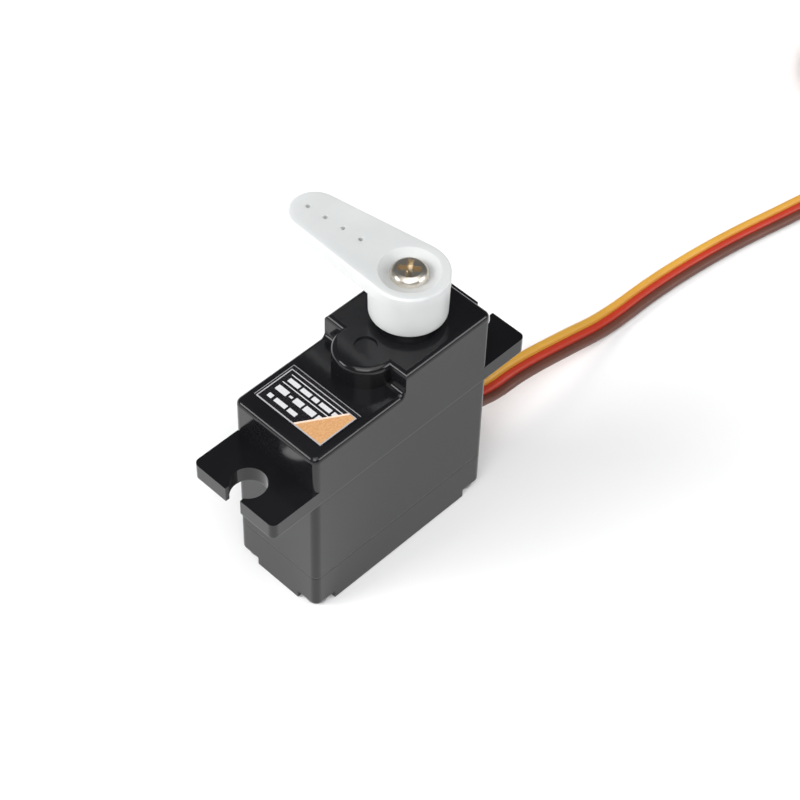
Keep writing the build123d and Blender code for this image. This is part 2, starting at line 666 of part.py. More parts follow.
with BuildPart() as motor_shaft:
    bar(MOTOR_X, 0, MOTOR_SHAFT_BASE, MOTOR_SHAFT_R, MOTOR_SHAFT_TOP - MOTOR_SHAFT_BASE)
keep(motor_shaft, "motor_shaft")

with BuildPart() as armature_core:
    bar(MOTOR_X, 0, ARMATURE_Z, CORE_HUB_R, ARMATURE_H)
    with BuildSketch(Plane((MOTOR_X, 0, ARMATURE_Z))):
        Circle(ARMATURE_R)
        Circle(ARMATURE_R - POLE_T, mode=Mode.SUBTRACT)
        with PolarLocations(ARMATURE_R, 3, start_angle=60):
            Rectangle(POLE_SLOT, SPOKE_W, mode=Mode.SUBTRACT)
        with PolarLocations(ARMATURE_R / 2, 3):
            Rectangle(ARMATURE_R - POLE_T / 2, SPOKE_W)
    extrude(amount=ARMATURE_H)
    bar(MOTOR_X, 0, ARMATURE_Z, MOTOR_SHAFT_R, ARMATURE_H, Mode.SUBTRACT)
keep(armature_core, "armature_core")

with BuildPart() as armature_windings:
    for side in (-1, 1):
        with BuildSketch(Plane((MOTOR_X, 0, ARMATURE_Z - WINDING_OVERHANG))):
            with PolarLocations(WINDING_R, 3):
                with Locations((0, side * (WINDING_W - WINDING_T) / 2)):
                    Rectangle(WINDING_L, WINDING_T)
        extrude(amount=ARMATURE_H + 2 * WINDING_OVERHANG)
    for end in (ARMATURE_Z - WINDING_OVERHANG, ARMATURE_Z + ARMATURE_H + WINDING_OVERHANG - WINDING_T):
        with BuildSketch(Plane((MOTOR_X, 0, end))):
            with PolarLocations(WINDING_R, 3):
                Rectangle(WINDING_L, WINDING_W)
        extrude(amount=WINDING_T)
keep(armature_windings, "armature_windings")

with BuildPart() as commutator:
    bar(MOTOR_X, 0, COMMUTATOR_Z, COMMUTATOR_R, COMMUTATOR_H)
    bar(MOTOR_X, 0, COMMUTATOR_Z, MOTOR_SHAFT_R, COMMUTATOR_H, Mode.SUBTRACT)
    with BuildSketch(Plane((MOTOR_X, 0, COMMUTATOR_Z))):
        with PolarLocations(COMMUTATOR_R, 3):
            Rectangle(MOTOR_SHAFT_R, COMMUTATOR_GAP)
    extrude(amount=COMMUTATOR_H, mode=Mode.SUBTRACT)
keep(commutator, "commutator")


# ---------------------------------------------------------------- position sensor

with BuildPart() as pot_body:
    bar(OUTPUT_X, 0, POT_BASE, POT_R, DECK_Z - POT_BASE)
    bar(OUTPUT_X, 0, POT_BASE + POT_WALL, POT_R - POT_WALL, DECK_Z - POT_BASE - 2 * POT_WALL, Mode.SUBTRACT)
    bar(OUTPUT_X, 0, POT_BASE, POT_SHAFT_R + RUNNING, DECK_Z - POT_BASE, Mode.SUBTRACT)
keep(pot_body, "pot_body")

with BuildPart() as pot_track:
    with BuildSketch(Plane((OUTPUT_X, 0, POT_BASE + POT_WALL))):
        Circle(TRACK_R)
        Circle(TRACK_INNER_R, mode=Mode.SUBTRACT)
        with Locations((TRACK_R, 0)):
            Rectangle(TRACK_R, TRACK_GAP, mode=Mode.SUBTRACT)
    extrude(amount=TRACK_T)
keep(pot_track, "pot_track")

with BuildPart() as pot_wiper:
    with BuildSketch(Plane((OUTPUT_X, 0, POT_BASE + POT_WALL + WIPER_LIFT))):
        Circle(WIPER_R)
        with Locations((WIPER_ARM_X, 0)):
            Rectangle(WIPER_ARM_L, WIPER_ARM_W)
        Circle(POT_SHAFT_R, mode=Mode.SUBTRACT)
    extrude(amount=WIPER_T)
keep(pot_wiper, "pot_wiper")

with BuildPart() as pot_shaft:
    bar(OUTPUT_X, 0, POT_SHAFT_BASE, POT_SHAFT_R, OUTPUT_WHEEL_Z + SHAFT_SOCKET_H - POT_SHAFT_BASE)
keep(pot_shaft, "pot_shaft")

with BuildPart() as pot_terminals:
    with BuildSketch(Plane((OUTPUT_X + POT_PIN_X, 0, POT_BASE - POT_PIN_H))):
        with GridLocations(0, POT_PIN_PITCH, 1, 3):
            Rectangle(POT_PIN_L, POT_PIN_W)
    extrude(amount=POT_PIN_H)
keep(pot_terminals, "pot_terminals")

with BuildPart() as pot_leads:
    with BuildSketch(Plane((OUTPUT_X + POT_PIN_X, 0, LEDGE_Z + BOARD_T))):
        with GridLocations(0, POT_PIN_PITCH, 1, 3):
            Circle(POT_LEAD_R)
    extrude(amount=POT_BASE - POT_PIN_H - LEDGE_Z - BOARD_T)
keep(pot_leads, "pot_leads")


# ---------------------------------------------------------------- circuit board

with BuildPart() as circuit_board:
    with BuildSketch(Plane.XY.offset(LEDGE_Z)):
        Rectangle(BOARD_L, BOARD_W)
        with case_posts():
            Circle(POST_R + SCREW_CLEARANCE, mode=Mode.SUBTRACT)
            Rectangle(2 * POST_R, 2 * POST_R, mode=Mode.SUBTRACT)
    extrude(amount=BOARD_T)
keep(circuit_board, "circuit_board")

BOARD_TOP = LEDGE_Z + BOARD_T

chip_x, chip_y, chip_l, chip_w, chip_h = CONTROL_CHIP

with BuildPart() as control_chip:
    block(chip_x, chip_y, BOARD_TOP, chip_l, chip_w, chip_h)
keep(control_chip, "control_chip")

with BuildPart() as driver_chips:
    with BuildSketch(Plane.XY.offset(BOARD_TOP)):
        with Locations(*DRIVER_PLACES):
            Rectangle(DRIVER_CHIP[0], DRIVER_CHIP[1])
    extrude(amount=DRIVER_CHIP[2])
keep(driver_chips, "driver_chips")

with BuildPart() as chip_capacitors:
    with BuildSketch(Plane.XY.offset(BOARD_TOP)):
        with Locations(*CAPACITOR_PLACES):
            Rectangle(CAPACITOR[0], CAPACITOR[1])
    extrude(amount=CAPACITOR[2])
keep(chip_capacitors, "chip_capacitors")

with BuildPart() as chip_resistors:
    with BuildSketch(Plane((RESISTOR_X, 0, BOARD_TOP))):
        with GridLocations(RESISTOR_PITCH_X, RESISTOR_PITCH_Y, 2, 3):
            Rectangle(RESISTOR[0], RESISTOR[1])
    extrude(amount=RESISTOR[2])
keep(chip_resistors, "chip_resistors")


# ---------------------------------------------------------------- lead, hank and plug

with BuildPart() as lead_grommet:
    flange_x = CASE_L / 2 - WALL - GROMMET_FLANGE / 2
    block(flange_x, 0, SEAM_LOW, GROMMET_FLANGE, SLOT_W + 2 * GROMMET_FLANGE, SLOT_H)
    block(CASE_L / 2 - WALL / 2, 0, SEAM_LOW, WALL, SLOT_W, SLOT_H)
    with BuildSketch(Plane((CASE_L / 2, 0, EXIT_Z), x_dir=(0, 1, 0), z_dir=(1, 0, 0))):
        RectangleRounded(SLOT_W, SLOT_H - 2 * SEAT, GROMMET_R)
    with BuildSketch(Plane((RELIEF_END_X, 0, LEAD_ROUTE[0][2]), x_dir=(0, 1, 0), z_dir=(1, 0, 0))):
        RectangleRounded(RIBBON_W + RELIEF_MARGIN, WIRE_D + RELIEF_MARGIN, GROMMET_R)
    loft()
keep(lead_grommet, "lead_grommet")

INNER_END_X = CASE_L / 2 - WALL - GROMMET_FLANGE
INNER_WIRES = (("inner_wire_signal", WIRE_D), ("inner_wire_power", 0), ("inner_wire_ground", -WIRE_D))

for wire_name, wire_y in INNER_WIRES:
    with BuildPart() as inner_wire:
        with BuildLine(Plane.XZ.offset(-wire_y)):
            FilletPolyline(
                (INNER_END_X, EXIT_Z),
                (INNER_DROP_X, EXIT_Z),
                (INNER_DROP_X, BOARD_TOP),
                radius=INNER_BEND_R,
            )
        with BuildSketch(Plane((INNER_END_X, wire_y, EXIT_Z), x_dir=(0, 1, 0), z_dir=(-1, 0, 0))):
            Circle(INNER_WIRE_R)
        sweep()
    keep(inner_wire, wire_name)


def corner_radii(route):
    """One bend radius for each inner point of the route: 0.45 of the shorter run over tan(half turn)."""
    points = [Vector(*point) for point in route]
    radii = []
    for before, here, after in zip(points, points[1:], points[2:]):
        turn = (here - before).get_angle(after - here)
        shorter = min((here - before).length, (after - here).length)
        radii.append(0.45 * shorter / tan(radians(turn) / 2))
    return radii


def ribbon(route):
    """Add the lead's flat section, swept along the route with tangent arcs at its corners."""
    radii = corner_radii(route)
    with BuildLine() as line:
        FilletPolyline(*route, radius=radii)
    heading = Vector(*route[1]) - Vector(*route[0])
    with BuildSketch(Plane(route[0], x_dir=(-heading.Y, heading.X, 0), z_dir=heading)) as section:
        RectangleRounded(RIBBON_W, WIRE_D, WIRE_D / 2 - SEAT)
    path = line.wires()[0]
    solid = sweep(section.sketch, path=path)
    print("lead", round(path.length, 1), "mm, radii", [round(radius, 1) for radius in radii])
    print("volume", round(solid.volume, 2), "section times length", round(section.sketch.area * path.length, 2))


with BuildPart() as lead:
    ribbon(LEAD_ROUTE)
keep(lead, "lead")

with BuildPart() as lead_tail:
    ribbon(TAIL_ROUTE)
keep(lead_tail, "lead_tail")

with BuildPart() as lead_hank:
    with BuildSketch(Plane((HANK_X, HANK_Y, HANK_LIFT))):
        SlotCenterToCenter(HANK_RUN, 2 * HANK_R + HANK_T)
        SlotCenterToCenter(HANK_RUN, 2 * HANK_R - HANK_T, mode=Mode.SUBTRACT)
    extrude(amount=RIBBON_W)
keep(lead_hank, "lead_hank")

with BuildPart() as lead_tie:
    tie_centre = (HANK_X, HANK_Y - HANK_R, HANK_LIFT + RIBBON_W / 2)
    with BuildSketch(Plane(tie_centre, x_dir=(0, 1, 0), z_dir=(1, 0, 0))):
        Rectangle(HANK_T + 2 * TIE_T, RIBBON_W + 2 * TIE_T)
        Rectangle(HANK_T, RIBBON_W, mode=Mode.SUBTRACT)
    extrude(amount=TIE_W / 2, both=True)
keep(lead_tie, "lead_tie")

PLUG_HEADING = Vector(*TAIL_ROUTE[-1]) - Vector(*TAIL_ROUTE[-2])
PLUG_PLANE = Plane((TAIL_ROUTE[-1][0], TAIL_ROUTE[-1][1], 0), x_dir=PLUG_HEADING, z_dir=(0, 0, 1))

with BuildPart() as plug_housing:
    with BuildSketch(PLUG_PLANE):
        with Locations((PLUG_L / 2, 0)):
            Rectangle(PLUG_L, PLUG_W)
    extrude(amount=PLUG_H)
    chamfer(plug_housing.edges().filter_by(Axis.Z), PLUG_CHAMFER)
    with BuildSketch(PLUG_PLANE.offset((PLUG_H - CAVITY_H) / 2)):
        with Locations((PLUG_L / 2, 0)):
            with GridLocations(0, PIN_PITCH, 1, 3):
                Rectangle(PLUG_L, CAVITY_W)
    extrude(amount=CAVITY_H, mode=Mode.SUBTRACT)
    # windows over the contacts' latches
    with BuildSketch(PLUG_PLANE.offset(PLUG_H)):
        with Locations((LATCH_X, 0)):
            with GridLocations(0, PIN_PITCH, 1, 3):
                Rectangle(LATCH_L, LATCH_W)
    extrude(amount=-LATCH_DEPTH, mode=Mode.SUBTRACT)
keep(plug_housing, "plug_housing")

with BuildPart() as plug_contacts:
    with BuildSketch(PLUG_PLANE.offset((PLUG_H - CAVITY_H) / 2)):
        with Locations((PLUG_L - CONTACT_INSET - CONTACT_L / 2, 0)):
            with GridLocations(0, PIN_PITCH, 1, 3):
                Rectangle(CONTACT_L, CAVITY_W)
    extrude(amount=CAVITY_H)
    with BuildSketch(PLUG_PLANE.offset((PLUG_H - CONTACT_BORE) / 2)):
        with Locations((PLUG_L - CONTACT_INSET - (CONTACT_L - CONTACT_END) / 2, 0)):
            with GridLocations(0, PIN_PITCH, 1, 3):
                Rectangle(CONTACT_L - CONTACT_END, CONTACT_BORE)
    extrude(amount=CONTACT_BORE, mode=Mode.SUBTRACT)
keep(plug_contacts, "plug_contacts")


# ---------------------------------------------------------------- output

os.makedirs("parts", exist_ok=True)
for part in PARTS:
    export_step(part, f"parts/{part.label}.step")
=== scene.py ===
"""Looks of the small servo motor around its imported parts. Metres, in the part's own frame."""
import bmesh
import bpy
from math import cos, hypot, pi, radians, sin
from mathutils import Matrix, Vector


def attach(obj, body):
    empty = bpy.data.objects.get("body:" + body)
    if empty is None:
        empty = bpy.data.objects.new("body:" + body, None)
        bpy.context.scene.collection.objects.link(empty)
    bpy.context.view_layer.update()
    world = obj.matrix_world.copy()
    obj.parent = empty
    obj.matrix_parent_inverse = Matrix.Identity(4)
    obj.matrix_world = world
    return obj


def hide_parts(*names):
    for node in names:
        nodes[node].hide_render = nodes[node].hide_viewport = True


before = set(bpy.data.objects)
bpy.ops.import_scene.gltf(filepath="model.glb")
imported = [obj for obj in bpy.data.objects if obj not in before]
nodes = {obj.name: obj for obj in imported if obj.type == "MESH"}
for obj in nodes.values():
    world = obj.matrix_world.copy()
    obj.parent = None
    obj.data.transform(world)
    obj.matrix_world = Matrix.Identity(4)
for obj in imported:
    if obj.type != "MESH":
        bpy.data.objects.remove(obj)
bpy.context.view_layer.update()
scene = bpy.context.scene
MM = 0.001

# ---------------------------------------------------------------- camera

camera_data = bpy.data.cameras.new("camera")
camera = bpy.data.objects.new("camera", camera_data)
scene.collection.objects.link(camera)
camera_data.sensor_width = 36
camera_data.lens = 101.8
camera_data.clip_start = 0.01
camera_data.clip_end = 20
RIGHT = Vector((0.70281, -0.71104, 0.02183))
UP = Vector((0.52731, 0.54131, 0.65493))
BACK = Vector((-0.47750, -0.44878, 0.75537))
camera.matrix_world = Matrix.Translation(Vector((-120.933, -119.378, 217.634)) * MM) @ Matrix(
    (RIGHT, UP, BACK)
).transposed().to_4x4()
scene.camera = camera


# ---------------------------------------------------------------- material helpers

def start(name):
    """A new material, its node tree, its shader and the place of each point in the part's frame."""
    made = bpy.data.materials.new(name)
    made.use_nodes = True
    tree = made.node_tree
    place = tree.nodes.new("ShaderNodeTexCoord").outputs["Object"]
    return made, tree, tree.nodes["Principled BSDF"], place


def stretched(tree, place, scale):
    """The place, scaled differently along X, Y and Z."""
    node = tree.nodes.new("ShaderNodeMapping")
    node.inputs["Scale"].default_value = scale
    tree.links.new(place, node.inputs["Vector"])
    return node.outputs["Vector"]


def parted(tree, place):
    """The place's X, Y and Z."""
    node = tree.nodes.new("ShaderNodeSeparateXYZ")
    tree.links.new(place, node.inputs[0])
    return node.outputs["X"], node.outputs["Y"], node.outputs["Z"]


def noise(tree, place, size, detail=3.0, rough=0.55):
    """A soft random pattern whose patches are about size metres across."""
    node = tree.nodes.new("ShaderNodeTexNoise")
    node.inputs["Scale"].default_value = 1 / size
    node.inputs["Detail"].default_value = detail
    node.inputs["Roughness"].default_value = rough
    tree.links.new(place, node.inputs["Vector"])
    return node.outputs["Fac"]


WAVE_SCALE = pi / 10        # the wave texture's scale times its pitch


def bands(tree, place, pitch, axis, distortion=0.0):
    """Bands across one axis, pitch metres apart."""
    node = tree.nodes.new("ShaderNodeTexWave")
    node.wave_type = "BANDS"
    node.bands_direction = axis
    node.inputs["Scale"].default_value = WAVE_SCALE / pitch
    node.inputs["Distortion"].default_value = distortion
    tree.links.new(place, node.inputs["Vector"])
    return node.outputs["Fac"]


def between(tree, value, low, high, low_at=0.25, high_at=0.75):
    """The value moved from its own range into the range low to high."""
    node = tree.nodes.new("ShaderNodeMapRange")
    node.inputs["From Min"].default_value = low_at
    node.inputs["From Max"].default_value = high_at
    node.inputs["To Min"].default_value = low
    node.inputs["To Max"].default_value = high
    tree.links.new(value, node.inputs["Value"])
    return node.outputs["Result"]


def mixed(tree, share, first, second):
    """A colour between two, each a colour or another node's output."""
    node = tree.nodes.new("ShaderNodeMix")
    node.data_type = "RGBA"
    tree.links.new(share, node.inputs[0])
    for socket, colour in ((node.inputs[6], first), (node.inputs[7], second)):
        if isinstance(colour, tuple):
            socket.default_value = (*colour, 1)
        else:
            tree.links.new(colour, socket)
    return node.outputs[2]


def sums(tree, operation, first, second=0.0):
    """The result of a sum, a product or a comparison, of numbers or other nodes' outputs."""
    node = tree.nodes.new("ShaderNodeMath")
    node.operation = operation
    for socket, value in zip(node.inputs, (first, second)):
        if isinstance(value, (int, float)):
            socket.default_value = value
        else:
            tree.links.new(value, socket)
    return node.outputs[0]


def bumped(tree, shader, height, depth):
    """Gives the shader a relief, depth metres high."""
    node = tree.nodes.new("ShaderNodeBump")
    node.inputs["Distance"].default_value = depth
    node.inputs["Strength"].default_value = 1
    tree.links.new(height, node.inputs["Height"])
    tree.links.new(node.outputs["Normal"], shader.inputs["Normal"])


def moulded(name, colour, worn, low, high, grain=0.0004, depth=0.000004, patches=0.004):
    """Moulded plastic: slow changes of colour and gloss, and a fine grain unless depth is 0."""
    made, tree, shader, place = start(name)
    slow = noise(tree, place, patches)
    tree.links.new(mixed(tree, between(tree, slow, 0, 1), colour, worn), shader.inputs["Base Color"])
    tree.links.new(between(tree, slow, low, high), shader.inputs["Roughness"])
    if depth:
        bumped(tree, shader, noise(tree, place, grain, 2.0), depth)
    return made, tree, shader, place


def metal(name, colour, worn, low, high, scale=(1, 1, 1), grain=0.0003, depth=0.000003):
    """Metal with a grain that scale stretches along the way it was worked, and no relief at depth 0."""
    made, tree, shader, place = start(name)
    shader.inputs["Metallic"].default_value = 1
    drawn = noise(tree, stretched(tree, place, scale), grain, 3.0)
    tree.links.new(mixed(tree, between(tree, drawn, 0, 1), colour, worn), shader.inputs["Base Color"])
    tree.links.new(between(tree, drawn, low, high), shader.inputs["Roughness"])
    if depth:
        bumped(tree, shader, drawn, depth)
    return made, tree, shader, place


# ---------------------------------------------------------------- materials

case_black, tree, shader, place = moulded(
    "case_black", (0.005, 0.005, 0.006), (0.009, 0.009, 0.010), 0.09, 0.19, depth=0, patches=0.009
)
shader.inputs["IOR"].default_value = 1.44
# a fine grain, and grooves where the three parts of the case meet, in millimetres
SEAMS = ((6.2, 1.0), (19.8, 0.35))      # height of each seam, and its share of the groove's depth
SEAM_FLOOR = 0.02                       # half the width of a groove's floor
SEAM_HALF = 0.11                        # half the width of a groove at its top
GROOVE = 0.05                           # depth
GRAIN_SIZE = 1.1
GRAIN_SHARE = 0.032                     # grain's share of the groove's depth
_, _, case_z = parted(tree, place)
relief = sums(tree, "MULTIPLY", noise(tree, place, GRAIN_SIZE * MM, 2.0), GRAIN_SHARE)
for seam, share in SEAMS:
    away = sums(tree, "ABSOLUTE", sums(tree, "SUBTRACT", case_z, seam * MM))
    relief = sums(tree, "ADD", relief, between(tree, away, -share, 0, SEAM_FLOOR * MM, SEAM_HALF * MM))
bumped(tree, shader, relief, GROOVE * MM)

label_film, tree, shader, place = start("label_film")
label_x, label_y, _ = parted(tree, place)


def band(value, low, high):
    """1 where the value lies between two numbers of millimetres, and 0 elsewhere."""
    above = sums(tree, "GREATER_THAN", value, low * MM)
    return sums(tree, "MULTIPLY", above, sums(tree, "LESS_THAN", value, high * MM))


def patch(x_low, x_high, y_low, y_high):
    """1 inside a rectangle on the label, in millimetres, and 0 elsewhere."""
    return sums(tree, "MULTIPLY", band(label_x, x_low, x_high), band(label_y, y_low, y_high))


speckle = noise(tree, place, 0.00025, 2.0)
INK = (0.006, 0.006, 0.007)
INK_WORN = (0.014, 0.013, 0.016)
SILVER = (0.40, 0.39, 0.40)
EDGE_GREY = (0.30, 0.30, 0.31)
PAPER = (0.60, 0.60, 0.61)
AMBER = (0.54, 0.28, 0.12)
AMBER_WORN = (0.60, 0.34, 0.16)
PEACH = (0.80, 0.62, 0.50)
printed = mixed(tree, between(tree, speckle, 0, 1), INK, INK_WORN)
# the print, in millimetres: lowest and highest x, lowest and highest y
PRINT_AREA = (-11.7, -6.4, -5.0, 5.0)
# two fine lines, then rows of plain bars
BARS = [
    (-8.42, -8.30, -4.6, 4.5),
    (-6.98, -6.86, -4.6, 4.5),
    (-7.95, -7.35, 2.5, 4.2), (-7.95, -7.35, 0.7, 2.2), (-7.95, -7.35, -0.5, 0.4),
    (-7.95, -7.35, -2.5, -0.8), (-7.95, -7.35, -4.3, -2.8),
    (-9.70, -8.90, 2.7, 4.4), (-9.45, -9.15, 1.9, 2.4), (-9.70, -8.90, 0.3, 1.6),
    (-9.70, -8.90, -1.6, 0.0), (-9.70, -8.90, -3.0, -1.9),
    (-11.05, -10.45, 3.6, 4.3), (-11.05, -10.45, 1.4, 3.2), (-11.05, -10.45, -0.2, 1.1),
]
for bar in BARS:
    printed = mixed(tree, patch(*bar), printed, PAPER)
# corner wedge with a straight edge and a pale border
WEDGE_SLOPE = 0.62
WEDGE_EDGE = -1.0
WEDGE_BORDER = 0.3
orange = mixed(tree, between(tree, speckle, 0, 1), AMBER, AMBER_WORN)
from_edge = sums(tree, "SUBTRACT", label_x, PRINT_AREA[0] * MM)
wedge_line = sums(tree, "ADD", label_y, sums(tree, "MULTIPLY", from_edge, WEDGE_SLOPE))
for edge, colour in ((WEDGE_EDGE + WEDGE_BORDER, PEACH), (WEDGE_EDGE, orange)):
    corner = sums(tree, "MULTIPLY", sums(tree, "LESS_THAN", wedge_line, edge * MM), patch(*PRINT_AREA))
    printed = mixed(tree, corner, printed, colour)
# inner frame and the fine line round the sticker
for outer, inner, colour in (
    ((-11.88, -6.28, -5.16, 5.14), PRINT_AREA, SILVER),
    ((-11.90, -5.72, -5.30, 5.42), (-11.90, -5.80, -5.30, 5.34), EDGE_GREY),
):
    ring = sums(tree, "MULTIPLY", patch(*outer), sums(tree, "SUBTRACT", 1.0, patch(*inner)))
    printed = mixed(tree, ring, printed, colour)
tree.links.new(printed, shader.inputs["Base Color"])
tree.links.new(between(tree, speckle, 0.22, 0.32), shader.inputs["Roughness"])
bumped(tree, shader, speckle, 0.000002)

horn_white, tree, shader, place = moulded(
    "horn_white", (0.55, 0.562, 0.56), (0.59, 0.60, 0.597), 0.30, 0.40, 0.0007, 0.000004, 0.006
)
shader.inputs["Subsurface Weight"].default_value = 0.6
shader.inputs["Subsurface Scale"].default_value = 0.002
shader.inputs["Subsurface Radius"].default_value = (1.0, 1.05, 1.1)

horn_screw_nickel, tree, shader, place = metal(
    "horn_screw_nickel", (0.88, 0.84, 0.77), (0.74, 0.67, 0.56), 0.26, 0.42, (1, 1, 0.3), 0.0006, 0.000005
)
# painted shade: the walls inside the cross recess are darkened near the screw's axis and under the head's
# flat, in millimetres
SCREW_X = 6.95
RECESS_R = 1.42
RECESS_Z = 38.24
RECESS_SHADE_COLOUR = (0.66, 0.57, 0.44)
screw_x, screw_y, screw_z = parted(tree, place)
off_x = sums(tree, "SUBTRACT", screw_x, SCREW_X * MM)
squares = (sums(tree, "MULTIPLY", off_x, off_x), sums(tree, "MULTIPLY", screw_y, screw_y))
near = sums(tree, "LESS_THAN", sums(tree, "ADD", *squares), (RECESS_R * MM) ** 2)
recess_shade_mask = sums(tree, "MULTIPLY", near, sums(tree, "LESS_THAN", screw_z, RECESS_Z * MM))
nickel = shader.inputs["Base Color"].links[0].from_socket
# mixes painted shade into the nickel colour inside the cross recess
tree.links.new(mixed(tree, recess_shade_mask, nickel, RECESS_SHADE_COLOUR), shader.inputs["Base Color"])
screw_steel, *_ = metal("screw_steel", (0.30, 0.30, 0.31), (0.22, 0.22, 0.23), 0.28, 0.42)
bronze, *_ = metal("bronze", (0.58, 0.41, 0.20), (0.45, 0.30, 0.14), 0.35, 0.5, grain=0.0001)
steel, *_ = metal("steel", (0.62, 0.62, 0.64), (0.52, 0.52, 0.54), 0.18, 0.28, (1, 1, 6))
motor_steel, *_ = metal("motor_steel", (0.66, 0.66, 0.67), (0.56, 0.56, 0.58), 0.22, 0.34, (1, 1, 0.2))
spring_copper, *_ = metal("spring_copper", (0.75, 0.50, 0.25), (0.62, 0.38, 0.18), 0.28, 0.4)
brass, *_ = metal("brass", (0.78, 0.60, 0.25), (0.66, 0.48, 0.18), 0.22, 0.34)
pot_metal, *_ = metal("pot_metal", (0.75, 0.60, 0.35), (0.64, 0.48, 0.26), 0.26, 0.38)
lead_tinned, *_ = metal("lead_tinned", (0.70, 0.70, 0.71), (0.58, 0.58, 0.60), 0.25, 0.4, (1, 1, 5))
contact_gold, *_ = metal("contact_gold", (0.86, 0.66, 0.30), (0.74, 0.53, 0.22), 0.18, 0.3)

copper, tree, shader, place = metal("copper", (0.72, 0.34, 0.15), (0.58, 0.24, 0.10), 0.22, 0.34, depth=0)
bumped(tree, shader, bands(tree, place, 0.00016, "Z", 0.4), 0.00004)
core_steel, tree, shader, place = metal(
    "core_steel", (0.35, 0.35, 0.37), (0.24, 0.24, 0.26), 0.35, 0.5, depth=0
)
bumped(tree, shader, bands(tree, place, 0.0005, "Z"), 0.00003)

motor_plastic, *_ = moulded("motor_plastic", (0.80, 0.78, 0.72), (0.72, 0.69, 0.62), 0.38, 0.5)
magnet, *_ = moulded("magnet", (0.06, 0.06, 0.065), (0.10, 0.10, 0.105), 0.55, 0.75, 0.0001, 0.00001, 0.001)
gear_nylon, *_ = moulded("gear_nylon", (0.82, 0.80, 0.72), (0.76, 0.73, 0.64), 0.32, 0.45)
pot_plastic, *_ = moulded("pot_plastic", (0.02, 0.02, 0.022), (0.035, 0.035, 0.037), 0.35, 0.5)
pot_carbon, *_ = moulded("pot_carbon", (0.012, 0.012, 0.012), (0.03, 0.03, 0.03), 0.4, 0.6, 0.0001, 0.000006)
chip_black, *_ = moulded("chip_black", (0.02, 0.02, 0.022), (0.03, 0.03, 0.032), 0.5, 0.65, 0.0001, 0.000006)
capacitor_tan, *_ = moulded("capacitor_tan", (0.50, 0.36, 0.22), (0.42, 0.29, 0.16), 0.4, 0.5)
resistor_black, *_ = moulded("resistor_black", (0.03, 0.03, 0.035), (0.06, 0.06, 0.065), 0.35, 0.45)
grommet_rubber, *_ = moulded(
    "grommet_rubber", (0.018, 0.018, 0.018), (0.03, 0.03, 0.03), 0.55, 0.7, 0.0002, 0.000008
)
plug_black, *_ = moulded(
    "plug_black", (0.016, 0.016, 0.017), (0.026, 0.026, 0.027), 0.34, 0.46, 0.0003, 0.000006
)
tie_black, *_ = moulded("tie_black", (0.018, 0.018, 0.018), (0.04, 0.04, 0.04), 0.45, 0.6, 0.0002, 0.000008)

SOLDER_MASK = (0.012, 0.12, 0.045)
board_green, tree, shader, place = moulded("board_green", SOLDER_MASK, (0.02, 0.17, 0.06), 0.25, 0.35)
# paler lines like tracks take the place of the plain colour
tracks = tree.nodes.new("ShaderNodeTexBrick")
tracks.inputs["Scale"].default_value = 400
tracks.inputs["Mortar Size"].default_value = 0.03
tracks.inputs["Color1"].default_value = (*SOLDER_MASK, 1)
tracks.inputs["Color2"].default_value = (0.016, 0.15, 0.055, 1)
tracks.inputs["Mortar"].default_value = (0.06, 0.30, 0.12, 1)
tree.links.new(place, tracks.inputs["Vector"])
tree.links.new(tracks.outputs["Color"], shader.inputs["Base Color"])


def insulation(name, colour, worn):
    """Soft wire insulation, slightly uneven."""
    return moulded(name, colour, worn, 0.36, 0.48, 0.0005, 0.00001, 0.006)[0]


wire_yellow = insulation("wire_yellow", (0.66, 0.36, 0.05), (0.60, 0.30, 0.04))
wire_red = insulation("wire_red", (0.48, 0.035, 0.014), (0.42, 0.03, 0.012))
wire_brown = insulation("wire_brown", (0.13, 0.045, 0.028), (0.10, 0.035, 0.024))

LOOKS = {
    case_black: ["case_top", "case_middle", "case_bottom"],
    label_film: ["label"],
    screw_steel: ["case_screws"],
    bronze: ["output_bush", "motor_bushes"],
    steel: ["idler_pin", "motor_shaft", "pot_shaft"],
    motor_steel: ["motor_can"],
    motor_plastic: ["motor_end_cap"],
    magnet: ["motor_magnets"],
    spring_copper: ["motor_brushes", "motor_terminals", "pot_terminals"],
    copper: ["armature_windings", "commutator"],
    core_steel: ["armature_core"],
    brass: ["motor_pinion"],
    gear_nylon: ["first_gear", "second_gear", "third_gear", "output_gear"],
    horn_white: ["horn"],
    horn_screw_nickel: ["horn_screw"],
    pot_plastic: ["pot_body"],
    pot_carbon: ["pot_track"],
    pot_metal: ["pot_wiper"],
    lead_tinned: ["pot_leads"],
    board_green: ["circuit_board"],
    chip_black: ["control_chip", "driver_chips"],
    capacitor_tan: ["chip_capacitors"],
    resistor_black: ["chip_resistors"],
    grommet_rubber: ["lead_grommet"],
    wire_yellow: ["inner_wire_signal"],
    wire_red: ["inner_wire_power"],
    wire_brown: ["inner_wire_ground"],
    plug_black: ["plug_housing"],
    contact_gold: ["plug_contacts"],
}
for look, names in LOOKS.items():
    for name in names:
        for material_slot in nodes[name].material_slots:
            material_slot.material = look


# ---------------------------------------------------------------- lead

